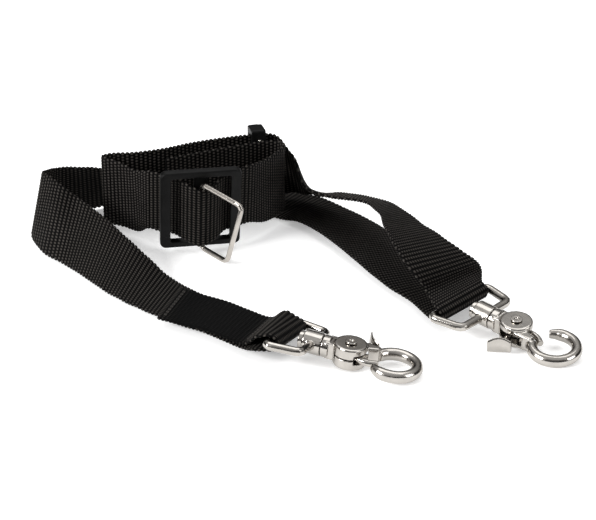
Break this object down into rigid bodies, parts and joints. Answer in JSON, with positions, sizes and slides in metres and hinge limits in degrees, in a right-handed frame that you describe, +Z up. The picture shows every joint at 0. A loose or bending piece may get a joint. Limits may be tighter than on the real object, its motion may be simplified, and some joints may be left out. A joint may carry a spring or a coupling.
{
  "type": "carrying strap",
  "caption": "Adjustable ribbed webbing carrying strap with swivel trigger snaps at its ends, a tri-glide slider with a wire ring, and a small keeper.",
  "frame": {"origin": "middle of the bounding box, at the surface the strap lies on", "axes": "+X along the longest extent, towards the snaps; +Z up from the surface the strap lies on"},
  "size_m": [0.2764, 0.2388, 0.0511],
  "materials": {
    "webbing": "ribbed black nylon webbing",
    "nickel": "polished nickel plate",
    "plastic": "moulded black plastic, soft sheen",
    "wire": "plain steel wire"
  },
  "bodies": {
    "strap": {"web_tail_a": "webbing", "web_fold_a": "webbing", "web_front_run_sewn": "webbing", "web_front_run": "webbing", "web_left_bend": "webbing", "web_far_run": "webbing", "web_under_run": "webbing", "web_lower_run": "webbing", "web_fold_b": "webbing", "web_upper_run": "webbing", "web_back_run": "webbing", "web_loop_left_bend": "webbing", "web_front_left": "webbing", "web_front_right": "webbing", "web_loop_right_bend": "webbing", "web_loop_tail": "webbing"},
    "slider": {"tri_glide": "plastic", "web_over_bar": "webbing"},
    "ring": {"wire_ring": "wire"},
    "keeper_body": {"keeper": "plastic", "keeper_wire": "wire"},
    "eye_a": {"swivel_eye_a": "nickel"},
    "snap_a": {"snap_body_a": "nickel", "pivot_pin_a": "nickel", "trigger_spring_a": "wire"},
    "lever_a": {"trigger_a": "nickel"},
    "eye_b": {"swivel_eye_b": "nickel"},
    "snap_b": {"snap_body_b": "nickel", "pivot_pin_b": "nickel", "trigger_spring_b": "wire"},
    "lever_b": {"trigger_b": "nickel"}
  },
  "joints": [
    {"name": "eye_a_tilt", "type": "hinge", "parent": "strap", "child": "eye_a", "pos_m": [-0.00175, -0.08569, 0.01058], "axis": [0.3463, 0.9151, -0.2068], "range_deg": [-60, 30]},
    {"name": "snap_a_swivel", "type": "hinge", "parent": "eye_a", "child": "snap_a", "pos_m": [0.013, -0.09165, 0.00891], "axis": [0.9221, -0.3726, -0.1045], "continuous": true},
    {"name": "trigger_a_open", "type": "hinge", "parent": "snap_a", "child": "lever_a", "pos_m": [0.0296, -0.09836, 0.00703], "axis": [0.0969, -0.0392, 0.9945], "range_deg": [0, 18], "stiffness_Nm_per_rad": 0.15},
    {"name": "eye_b_tilt", "type": "hinge", "parent": "strap", "child": "eye_b", "pos_m": [0.08349, -0.05221, 0.01058], "axis": [0.6561, 0.7547, 0], "range_deg": [-60, 30]},
    {"name": "snap_b_swivel", "type": "hinge", "parent": "eye_b", "child": "snap_b", "pos_m": [0.0955, -0.06265, 0.00891], "axis": [0.7506, -0.6525, -0.1045], "continuous": true},
    {"name": "trigger_b_open", "type": "hinge", "parent": "snap_b", "child": "lever_b", "pos_m": [0.10901, -0.07439, 0.00703], "axis": [0.0132, 0.1729, -0.9848], "range_deg": [-18, 0], "stiffness_Nm_per_rad": 0.15},
    {"name": "slider_slide", "type": "slide", "parent": "strap", "child": "slider", "axis": [0.9848, 0.1736, 0], "range_m": [-0.004, 0.004]},
    {"name": "ring_swing", "type": "hinge", "parent": "slider", "child": "ring", "pos_m": [-0.04436, 0.02104, 0.02613], "axis": [0.0449, -0.2549, 0.9659], "range_deg": [-60, 25]},
    {"name": "keeper_slide", "type": "slide", "parent": "strap", "child": "keeper_body", "axis": [0.9659, 0.2588, 0], "range_m": [-0.003, 0.003]}
  ]
}
